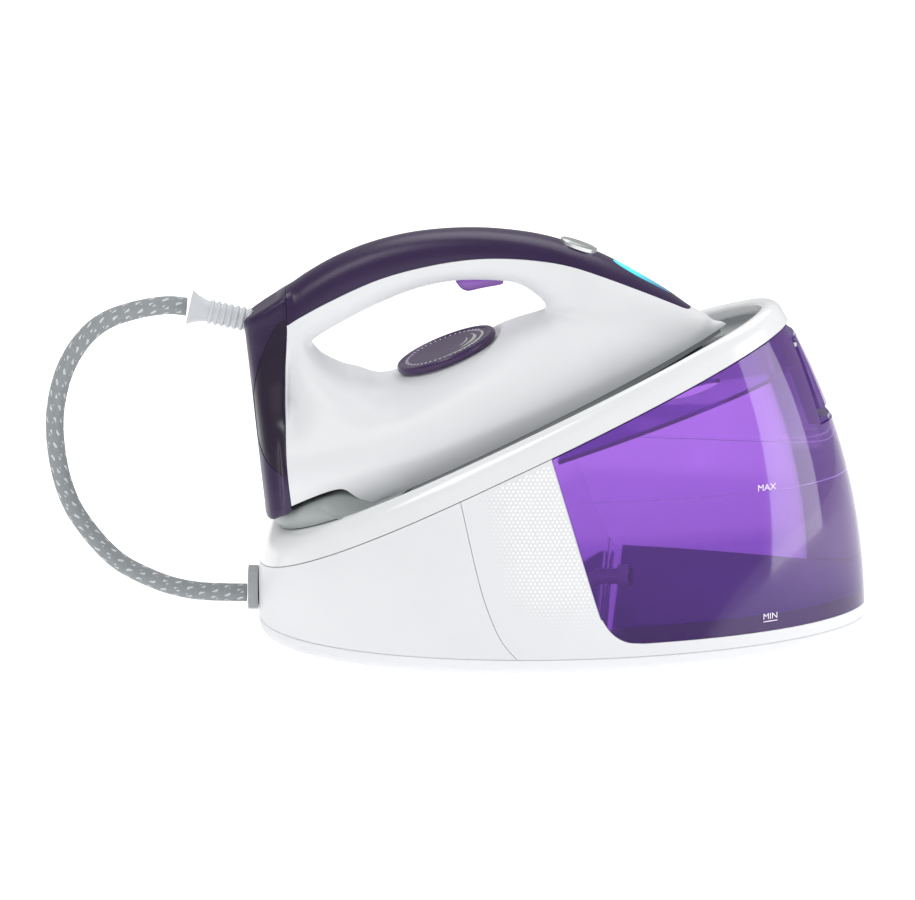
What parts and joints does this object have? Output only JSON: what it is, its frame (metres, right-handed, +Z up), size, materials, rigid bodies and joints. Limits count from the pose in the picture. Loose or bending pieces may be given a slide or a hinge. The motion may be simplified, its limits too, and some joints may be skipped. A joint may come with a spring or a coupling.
{
  "type": "steam generator iron",
  "caption": "Steam iron resting in the sloping dock of a base station, with a slide-out clear tank and a braided steam hose looping between them.",
  "frame": {"origin": "on the ground below the middle of the object's length, measured without the hose", "axes": "+X towards the nose of the iron and the tank, +Y to the iron's left side, +Z up"},
  "size_m": [0.4914, 0.2142, 0.2473],
  "materials": {
    "white_plastic": "glossy white",
    "grey_plastic": "satin grey",
    "dark_purple_plastic": "satin dark purple, finely grained",
    "deep_purple_plastic": "satin deep purple",
    "purple_clear_plastic": "glossy clear purple plastic",
    "violet_clear_plastic": "glossy violet",
    "silver_plastic": "silver paint",
    "cyan_lens": "clear cyan lens",
    "dark_rubber": "matt black",
    "grey_silicone": "satin grey",
    "grey_braid": "woven grey braid with pale flecks",
    "pale_grey_rubber": "satin pale grey",
    "steel": "plain steel",
    "soleplate_ceramic": "smooth coated",
    "cast_aluminium": "as cast",
    "copper": "wound wire",
    "circuit_board": "green board",
    "black_plastic": "matt black",
    "silicone_tubing": "clear silicone"
  },
  "bodies": {
    "base": {"bottom_plate": "white_plastic", "base_screw_1": "steel", "base_screw_2": "steel", "base_screw_3": "steel", "base_screw_4": "steel", "foot_rear_right": "dark_rubber", "foot_front_right": "dark_rubber", "foot_rear_left": "dark_rubber", "foot_front_left": "dark_rubber", "rear_housing": "white_plastic", "tank_cradle": "white_plastic", "dock_rim": "white_plastic", "dock_tray": "grey_plastic", "heel_rest": "grey_silicone", "hose_gland": "grey_plastic", "mains_cord_gland": "black_plastic", "pump_barrel": "white_plastic", "pump_coil": "copper", "pump_frame": "steel", "pump_mount_front": "dark_rubber", "pump_mount_rear": "dark_rubber", "suction_tube": "silicone_tubing", "pressure_tube": "silicone_tubing", "control_board": "circuit_board", "board_relay": "black_plastic", "tank_coupling": "black_plastic", "steam_hose": "grey_braid"},
    "iron": {"iron_body": "white_plastic", "handle_cover": "dark_purple_plastic", "heel_cover": "dark_purple_plastic", "heel_inset_left": "deep_purple_plastic", "heel_inset_right": "deep_purple_plastic", "soleplate": "soleplate_ceramic", "sole_skirt": "grey_plastic", "steam_chamber": "cast_aluminium", "chamber_lid": "cast_aluminium", "heating_element": "steel", "inner_steam_pipe": "silicone_tubing", "hose_relief": "pale_grey_rubber", "handle_board": "circuit_board", "button_spring": "steel", "trigger_spring": "steel", "trigger_switch": "black_plastic", "trigger_pin": "steel", "light_window": "cyan_lens", "thermostat": "steel"},
    "dial": {"temperature_dial": "dark_purple_plastic", "dial_shaft": "steel"},
    "trigger": {"steam_trigger": "violet_clear_plastic"},
    "button": {"top_button": "silver_plastic"},
    "tank": {"tank_shell": "purple_clear_plastic", "tank_cover": "purple_clear_plastic", "finger_pocket": "purple_clear_plastic", "lever_pin": "steel", "tank_outlet": "white_plastic", "outlet_seal": "dark_rubber", "valve_spring": "steel"},
    "lever": {"release_lever": "purple_clear_plastic"},
    "valve": {"valve_plunger": "black_plastic"}
  },
  "joints": [
    {"name": "iron_lift", "type": "slide", "parent": "base", "child": "iron", "axis": [-0.4194, 0, 0.9078], "range_m": [0, 0.12], "deforming": ["steam_hose"]},
    {"name": "dial_turn", "type": "hinge", "parent": "iron", "child": "dial", "pos_m": [-0.067, 0, 0.17625], "axis": [-0.3665, 0, 0.9304], "range_deg": [-120, 120]},
    {"name": "trigger_squeeze", "type": "hinge", "parent": "iron", "child": "trigger", "pos_m": [-0.03396, 0, 0.2261], "axis": [0, 1, 0], "range_deg": [0, 6], "stiffness_Nm_per_rad": 0.4, "deforming": ["trigger_spring"]},
    {"name": "button_press", "type": "slide", "parent": "iron", "child": "button", "axis": [-0.3289, 0, -0.9444], "range_m": [0, 0.0015], "stiffness_N_per_m": 400, "deforming": ["button_spring"]},
    {"name": "tank_slide", "type": "slide", "parent": "base", "child": "tank", "axis": [1, 0, 0], "range_m": [0, 0.2]},
    {"name": "lever_pull", "type": "hinge", "parent": "tank", "child": "lever", "pos_m": [0.1407, 0, 0.1803], "axis": [0, -1, 0], "range_deg": [0, 15], "stiffness_Nm_per_rad": 0.3},
    {"name": "valve_open", "type": "slide", "parent": "tank", "child": "valve", "axis": [1, 0, 0], "range_m": [0, 0.0025], "stiffness_N_per_m": 100, "deforming": ["valve_spring"]}
  ]
}
